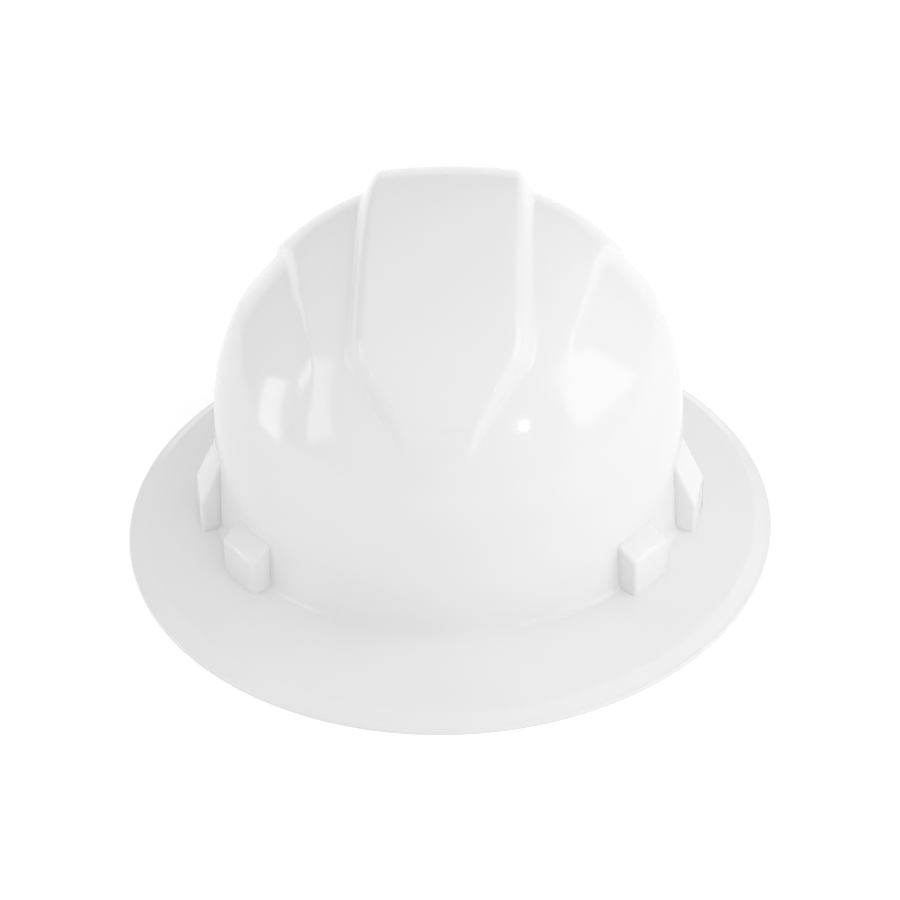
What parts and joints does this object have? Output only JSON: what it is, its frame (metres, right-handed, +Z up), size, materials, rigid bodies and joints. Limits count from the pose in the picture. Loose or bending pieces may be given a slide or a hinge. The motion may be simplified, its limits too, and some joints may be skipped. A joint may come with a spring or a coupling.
{
  "type": "full brim hard hat",
  "caption": "Safety helmet with a full brim, a ridged and fluted shell, and a webbing suspension with a ratchet headband.",
  "frame": {"origin": "under the middle of the brim, on the surface that the brim's edge rests on", "axes": "+Z up, the front of the hat faces -Y, the wearer's left is +X"},
  "size_m": [0.278, 0.318, 0.146],
  "materials": {
    "shell_white": "glossy moulded white",
    "key_plastic": "moulded",
    "strap_webbing": "woven webbing",
    "pad_foam": "fabric over foam",
    "band_plastic": "moulded",
    "ratchet_plastic": "fine texture",
    "pinion_plastic": "natural acetal",
    "screw_steel": "zinc plated"
  },
  "bodies": {
    "suspension": {"key_front_left": "key_plastic", "key_front_right": "key_plastic", "key_side_left": "key_plastic", "key_side_right": "key_plastic", "key_rear_left": "key_plastic", "key_rear_right": "key_plastic", "crown_strap_left_front": "strap_webbing", "crown_strap_right_front": "strap_webbing", "crown_strap_side": "strap_webbing", "crown_pad": "pad_foam", "headband": "band_plastic", "brow_pad": "pad_foam", "nape_plate": "band_plastic", "nape_pad": "pad_foam", "ratchet_cover": "ratchet_plastic", "cover_screws": "screw_steel"},
    "shell": {"shell": "shell_white"},
    "knob": {"ratchet_knob": "ratchet_plastic", "ratchet_pinion": "pinion_plastic", "detent_spring": "pinion_plastic", "knob_screw": "screw_steel"},
    "left_strap": {"nape_strap_left": "band_plastic"},
    "right_strap": {"nape_strap_right": "band_plastic"}
  },
  "joints": [
    {"name": "shell_lift", "type": "slide", "parent": "suspension", "child": "shell", "axis": [0, 0, 1], "range_m": [0, 0.15]},
    {"name": "knob_turn", "type": "hinge", "parent": "suspension", "child": "knob", "pos_m": [0, 0.11, 0.027], "axis": [0, 1, 0], "range_deg": [-126, 396]},
    {"name": "left_strap_slide", "type": "hinge", "parent": "suspension", "child": "left_strap", "pos_m": [0, 0.017, 0.027], "axis": [0, 0, -1], "range_deg": [-7.7, 24]},
    {"name": "right_strap_slide", "type": "hinge", "parent": "suspension", "child": "right_strap", "pos_m": [0, 0.017, 0.027], "axis": [0, 0, 1], "range_deg": [-7.7, 24]}
  ],
  "couplings": [
    {"joint": "left_strap_slide", "follows": "knob_turn", "ratio": 0.059773},
    {"joint": "right_strap_slide", "follows": "knob_turn", "ratio": 0.059773}
  ]
}
